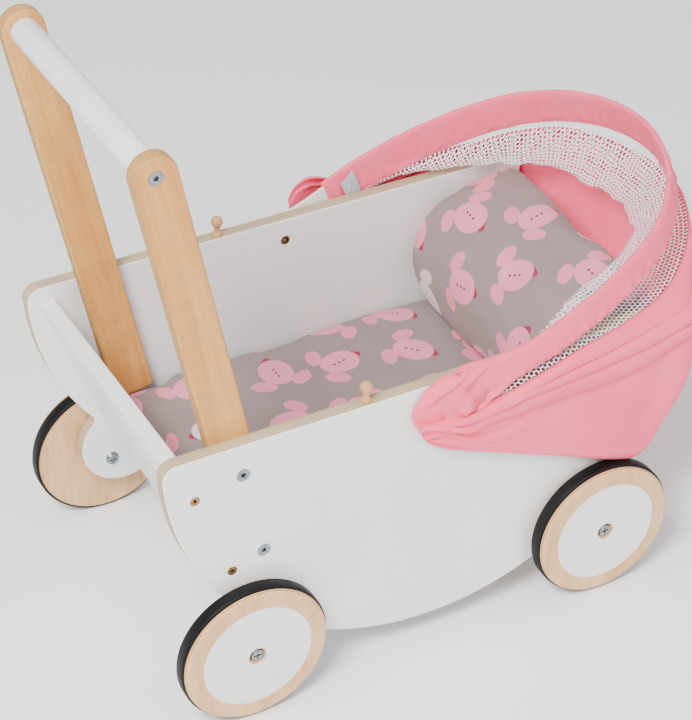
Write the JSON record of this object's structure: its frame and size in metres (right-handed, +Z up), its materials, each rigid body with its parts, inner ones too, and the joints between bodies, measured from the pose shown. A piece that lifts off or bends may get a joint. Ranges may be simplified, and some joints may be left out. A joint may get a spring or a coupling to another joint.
{
  "type": "doll pram",
  "caption": "Wooden doll pram: round white plywood sides, leaning push handle, disc wheels with rubber bands, printed mattress and pillow, folding fabric hood on a bow.",
  "frame": {"origin": "on the floor under the middle of the pram's outline, seen from above", "axes": "+X to the hood end, +Y to the pram's left side, +Z up"},
  "size_m": [0.5106, 0.3066, 0.502],
  "materials": {
    "white_paint": "satin white paint on birch plywood, bare sanded edges",
    "birch": "turned birch, clear lacquer",
    "arm_birch": "birch plywood, clear satin lacquer",
    "bar_paint": "smooth white paint",
    "wheel_wood": "pale wood, white painted centre",
    "tyre_rubber": "smooth black rubber band",
    "zinc_steel": "zinc plated",
    "brass_plate": "yellow zinc plated",
    "bow_strip": "smooth white strip",
    "pink_cotton": "plain woven cotton",
    "white_mesh": "open knitted net",
    "tag_ribbon": "blank folded ribbon",
    "printed_cotton": "warm grey cotton with a pale pink bud print"
  },
  "bodies": {
    "frame": {"side_panel_right": "white_paint", "side_panel_left": "white_paint", "rear_board": "white_paint", "front_board": "white_paint", "floor_board": "white_paint", "floor_dowels": "birch", "board_screws": "brass_plate", "handle_arm_right": "arm_birch", "handle_arm_left": "arm_birch", "handle_bar": "bar_paint", "bar_bolts": "zinc_steel", "bar_inserts": "brass_plate", "arm_bolts": "zinc_steel", "arm_inserts": "brass_plate", "peg_right": "birch", "peg_left": "birch", "axle_bolts": "zinc_steel", "axle_sleeves": "zinc_steel", "axle_washers": "zinc_steel", "hood_pivot_bolts": "zinc_steel", "hood_pivot_inserts": "zinc_steel", "hood_pivot_washers": "zinc_steel", "hood_mesh": "white_mesh", "hood_cover": "pink_cotton", "mattress": "printed_cotton", "pillow": "printed_cotton"},
    "wheel_rear_right": {"wheel_rear_right": "wheel_wood", "tyre_rear_right": "tyre_rubber"},
    "wheel_rear_left": {"wheel_rear_left": "wheel_wood", "tyre_rear_left": "tyre_rubber"},
    "wheel_front_right": {"wheel_front_right": "wheel_wood", "tyre_front_right": "tyre_rubber"},
    "wheel_front_left": {"wheel_front_left": "wheel_wood", "tyre_front_left": "tyre_rubber"},
    "hood": {"hood_bow": "bow_strip", "hood_sleeve": "pink_cotton", "hood_tag": "tag_ribbon"}
  },
  "joints": [
    {"name": "rear_right_wheel_turn", "type": "hinge", "parent": "frame", "child": "wheel_rear_right", "pos_m": [-0.18628, -0.1448, 0.0615], "axis": [0, 1, 0], "continuous": true},
    {"name": "rear_left_wheel_turn", "type": "hinge", "parent": "frame", "child": "wheel_rear_left", "pos_m": [-0.18628, 0.1448, 0.0615], "axis": [0, 1, 0], "continuous": true},
    {"name": "front_right_wheel_turn", "type": "hinge", "parent": "frame", "child": "wheel_front_right", "pos_m": [0.12822, -0.1448, 0.0615], "axis": [0, 1, 0], "continuous": true},
    {"name": "front_left_wheel_turn", "type": "hinge", "parent": "frame", "child": "wheel_front_left", "pos_m": [0.12822, 0.1448, 0.0615], "axis": [0, 1, 0], "continuous": true},
    {"name": "hood_fold", "type": "hinge", "parent": "frame", "child": "hood", "pos_m": [-0.02178, 0, 0.23], "axis": [0, 1, 0], "range_deg": [-20, 1], "deforming": ["hood_mesh", "hood_cover"]}
  ]
}
